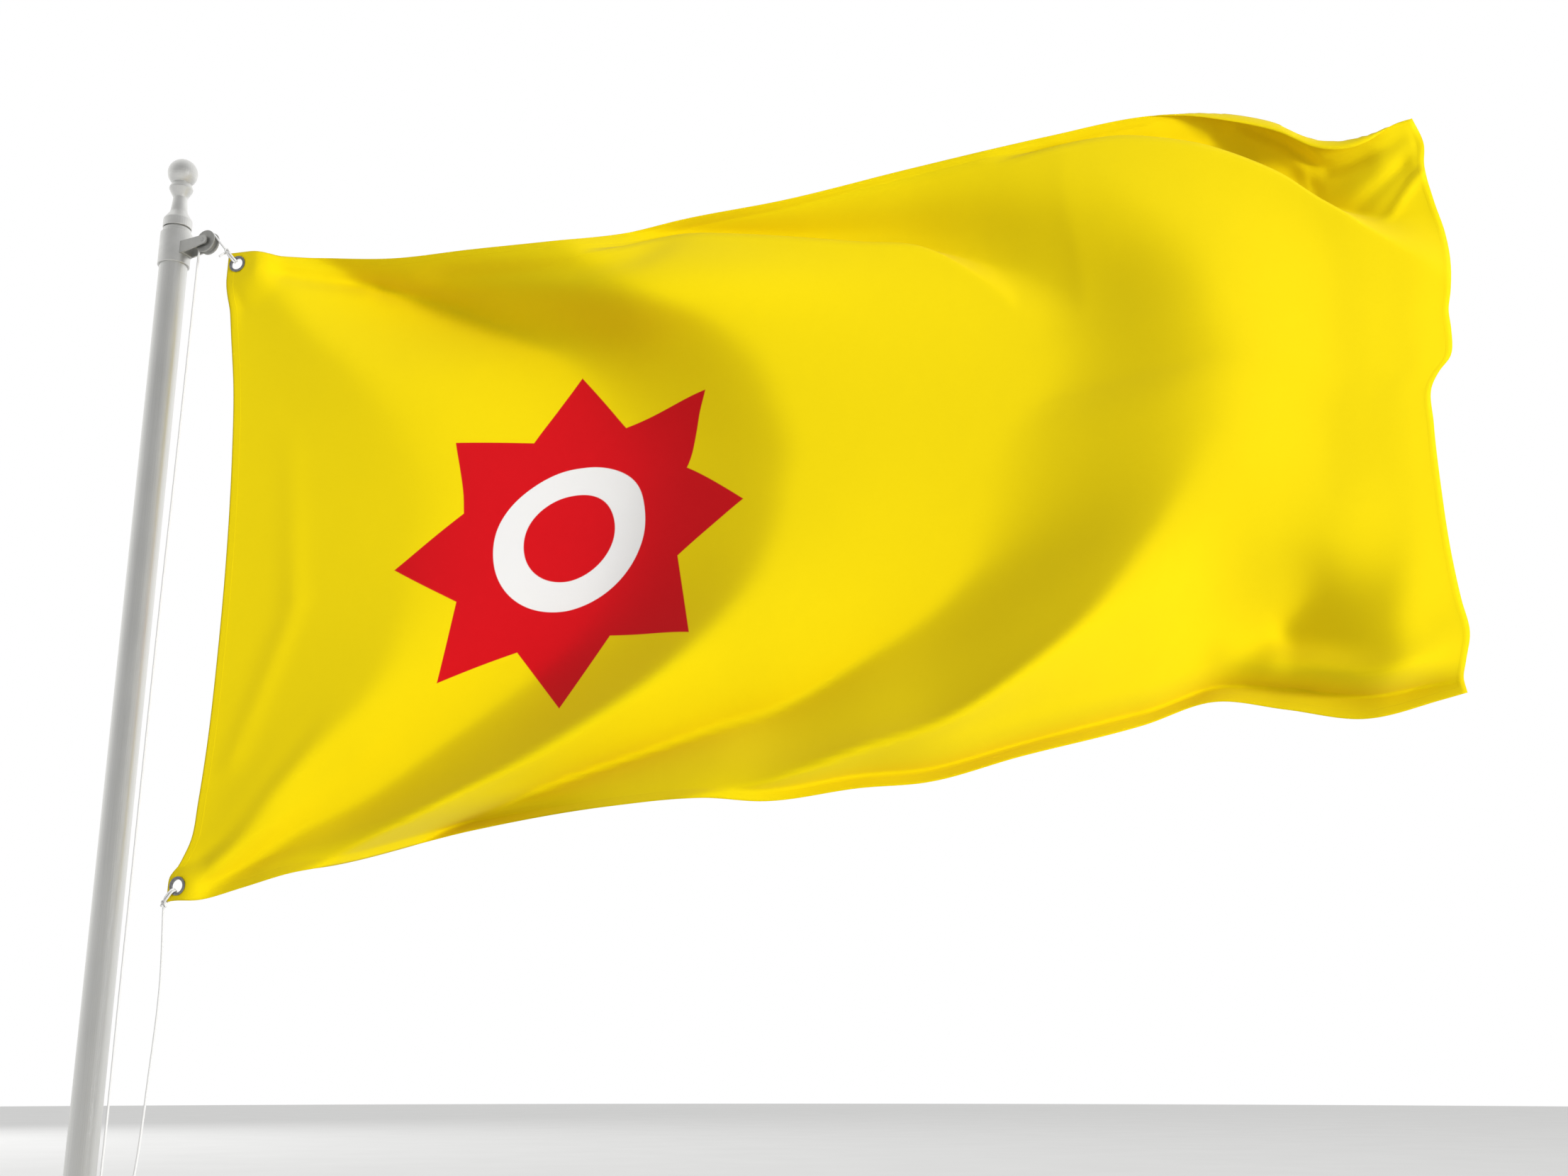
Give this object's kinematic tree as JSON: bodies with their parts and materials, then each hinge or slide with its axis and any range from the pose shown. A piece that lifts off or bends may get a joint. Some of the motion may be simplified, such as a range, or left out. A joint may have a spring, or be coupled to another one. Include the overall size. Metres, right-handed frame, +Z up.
{
  "type": "city flag on a flagpole",
  "caption": "Yellow city flag flying by its halyard from the top section of an aluminium flagpole, with a truck, sheave, turned finial and cleat.",
  "frame": {"origin": "middle of the pole's foot, at the end face of its spigot", "axes": "+Z up along the pole; the flag flies along +X and is seen from -Y"},
  "size_m": [2.4543, 0.214, 2.4634],
  "materials": {
    "pole_metal": "satin anodised",
    "truck_metal": "cast, grey",
    "screw_metal": "plain stainless",
    "eyelet_metal": "dull nickel plate",
    "flag_cloth": "printed knitted polyester",
    "rope": "white braided polyester"
  },
  "bodies": {
    "mast": {"pole": "pole_metal", "truck_collar": "pole_metal", "finial": "pole_metal", "truck_bracket": "truck_metal", "axle": "screw_metal", "cleat": "truck_metal", "cleat_screw_upper": "screw_metal", "cleat_screw_lower": "screw_metal", "flag_cloth": "flag_cloth", "eyelet_upper": "eyelet_metal", "eyelet_lower": "eyelet_metal", "halyard": "rope", "halyard_tail": "rope", "knot_upper": "rope", "knot_lower": "rope", "loop_upper": "rope", "loop_lower": "rope"},
    "sheave_wheel": {"sheave": "truck_metal"}
  },
  "joints": [
    {"name": "sheave_spin", "type": "hinge", "parent": "mast", "child": "sheave_wheel", "pos_m": [0.07308, -0.03254, 2.184], "axis": [0.4067, 0.9135, 0], "continuous": true}
  ]
}
